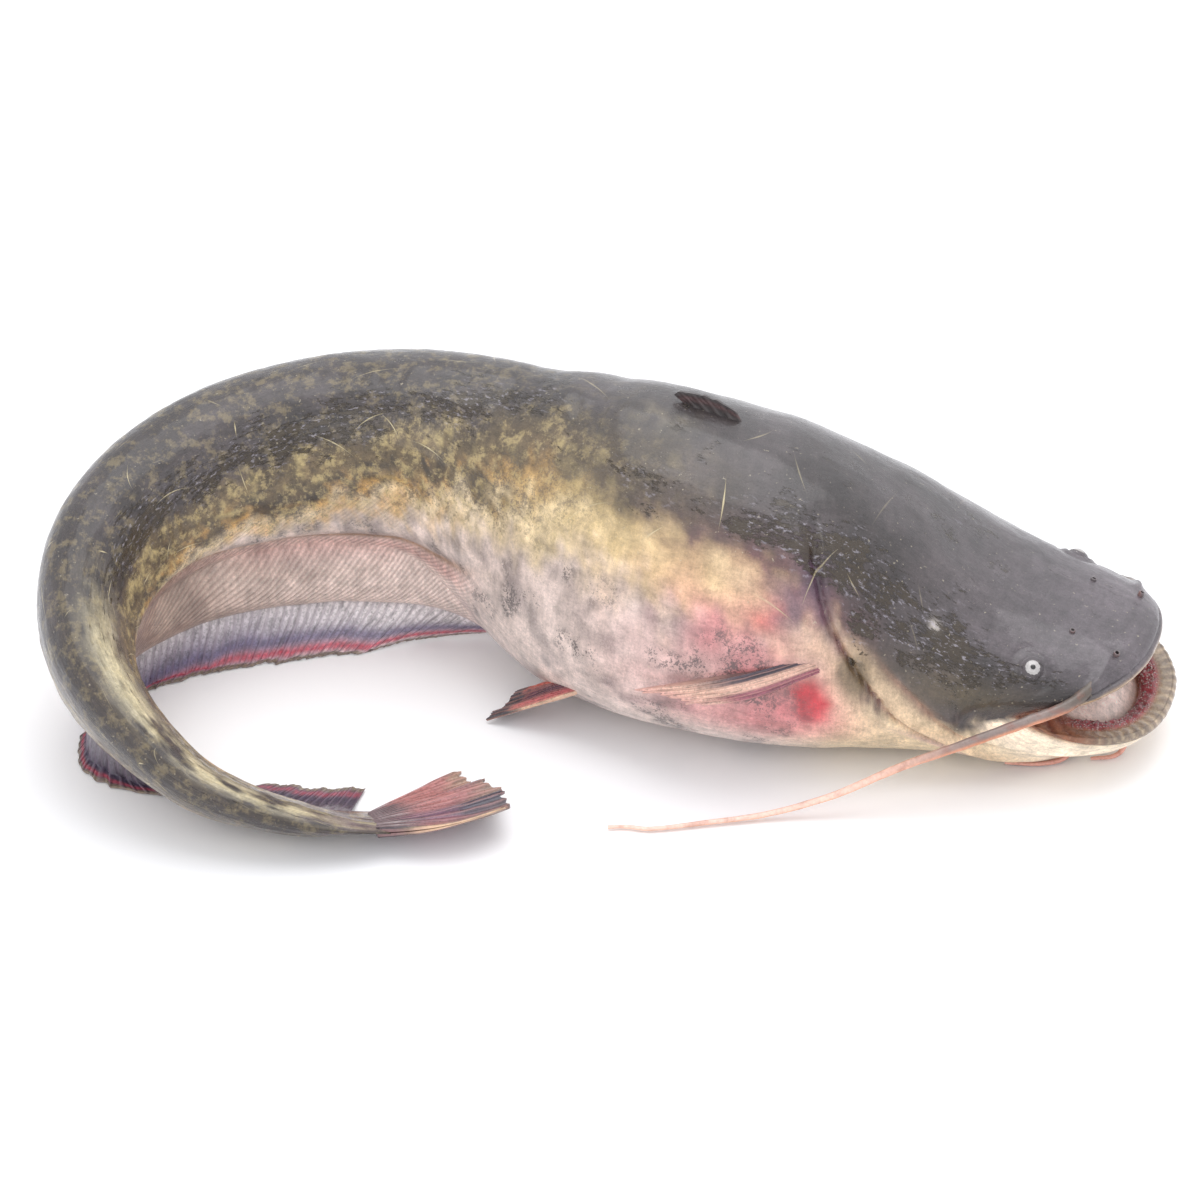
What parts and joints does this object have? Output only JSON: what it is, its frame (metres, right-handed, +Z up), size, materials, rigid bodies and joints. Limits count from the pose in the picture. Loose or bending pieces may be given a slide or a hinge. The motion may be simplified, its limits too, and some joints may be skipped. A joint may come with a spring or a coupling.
{
  "type": "catfish",
  "caption": "Whole Wels catfish lying on its belly, mouth open and long whiskers spread, its tail curled round in front of it.",
  "frame": {"origin": "under the middle of the fish's bounding box, on the surface that the belly rests on", "axes": "+Z up, +X towards the head, -Y towards the open side of the tail's curl"},
  "size_m": [0.5592, 0.2766, 0.1629],
  "materials": {
    "skin": "wet, glossy scaleless skin, mottled slate and olive above, cream and pink below",
    "eye": "wet, silvery white iris and black pupil under a clear cornea",
    "fin": "wet, ribbed fin membrane, violet grey with pink rays",
    "barbel": "wet, soft whisker skin, grey brown at the root and pale pink at the tip"
  },
  "bodies": {
    "root": {"body": "skin", "eye_right": "eye", "eye_left": "eye", "dorsal_fin": "fin", "anal_fin": "fin", "caudal_fin": "fin", "pectoral_fin_right": "fin", "pectoral_fin_left": "fin", "pelvic_fin_right": "fin", "pelvic_fin_left": "fin", "maxillary_barbel_right": "barbel", "maxillary_barbel_left": "barbel", "front_chin_barbel_right": "barbel", "front_chin_barbel_left": "barbel", "rear_chin_barbel_right": "barbel", "rear_chin_barbel_left": "barbel"}
  },
  "joints": []
}
